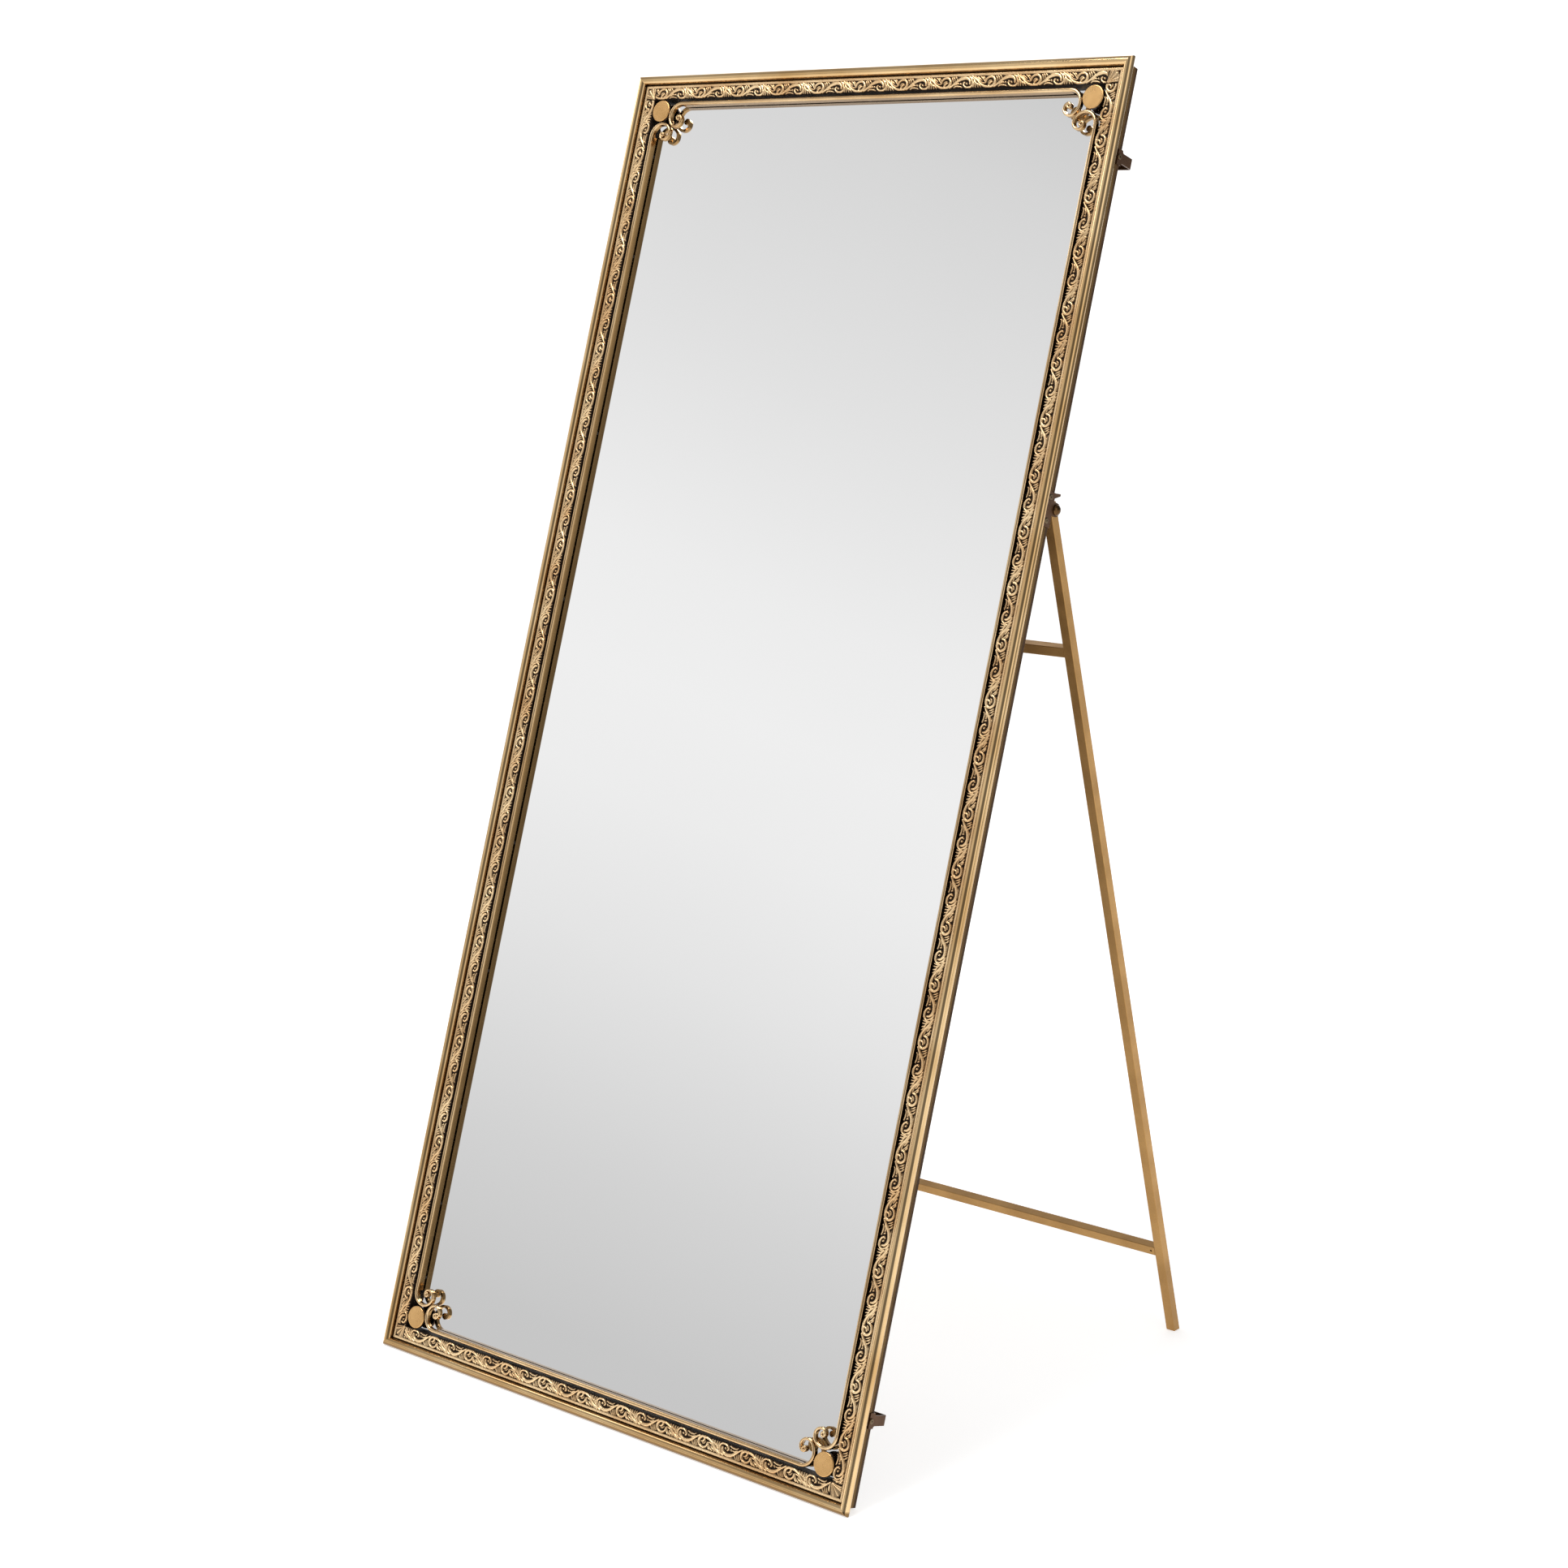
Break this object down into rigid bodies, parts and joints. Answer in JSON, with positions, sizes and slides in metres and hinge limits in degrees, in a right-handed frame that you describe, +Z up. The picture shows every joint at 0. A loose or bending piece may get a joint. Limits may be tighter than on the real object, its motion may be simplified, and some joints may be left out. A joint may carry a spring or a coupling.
{
  "type": "free-standing floor mirror",
  "caption": "Rectangular floor mirror in an antique-brass frame with an embossed band, scroll-ended inner bars and corner discs, leaning back on a folding rear stand.",
  "frame": {"origin": "middle of the whole footprint, on the floor, with the mirror leaning back and its stand open", "axes": "+Z up, front of the mirror faces -Y, +X to the right seen from the front"},
  "size_m": [0.81, 0.7486, 1.6963],
  "materials": {
    "moulding_metal": "satin antique brass",
    "embossed_metal": "embossed, antique patina in the recesses",
    "rail_wood": "dull bronze paint",
    "scroll_metal": "satin antique brass",
    "disc_metal": "satin antique brass",
    "mirror": "silvered, clear",
    "grey_board": "uncoated board",
    "panel_board": "dull brown paint",
    "post_metal": "satin",
    "screw_steel": "dark plated",
    "bracket_metal": "dull bronze paint",
    "bolt_steel": "dark plated",
    "cap_nut_metal": "polished dark bronze",
    "stand_metal": "dull antique gold paint",
    "plug_plastic": "matt"
  },
  "bodies": {
    "frame": {"moulding_bottom": "moulding_metal", "moulding_top": "moulding_metal", "moulding_left": "moulding_metal", "moulding_right": "moulding_metal", "embossed_band_bottom": "embossed_metal", "embossed_band_top": "embossed_metal", "embossed_band_left": "embossed_metal", "embossed_band_right": "embossed_metal", "rail_bottom": "rail_wood", "rail_top": "rail_wood", "rail_left": "rail_wood", "rail_right": "rail_wood", "mirror_glass": "mirror", "backing_sheet": "grey_board", "back_panel": "panel_board", "back_panel_screws": "screw_steel", "inner_bar_bottom": "scroll_metal", "inner_bar_top": "scroll_metal", "inner_bar_left": "scroll_metal", "inner_bar_right": "scroll_metal", "bar_posts": "post_metal", "corner_disc_bottom_left": "disc_metal", "corner_disc_bottom_right": "disc_metal", "corner_disc_top_left": "disc_metal", "corner_disc_top_right": "disc_metal", "disc_posts": "scroll_metal", "hinge_plate_right": "bracket_metal", "hinge_plate_left": "bracket_metal", "hinge_plate_screws": "screw_steel", "pivot_bolts": "bolt_steel", "pivot_cap_nuts": "cap_nut_metal", "pivot_washers": "bolt_steel", "wall_spacer_bottom_right": "bracket_metal", "wall_spacer_bottom_left": "bracket_metal", "wall_spacer_top_right": "bracket_metal", "wall_spacer_top_left": "bracket_metal", "spacer_screws": "screw_steel"},
    "stand": {"leg_right": "stand_metal", "leg_left": "stand_metal", "foot_plugs": "plug_plastic", "upper_crossbar": "stand_metal", "lower_crossbar": "stand_metal"}
  },
  "joints": [
    {"name": "stand_fold", "type": "hinge", "parent": "frame", "child": "stand", "pos_m": [0, 0.03108, 1.15811], "axis": [-1, 0, 0], "range_deg": [0, 32.6]}
  ]
}
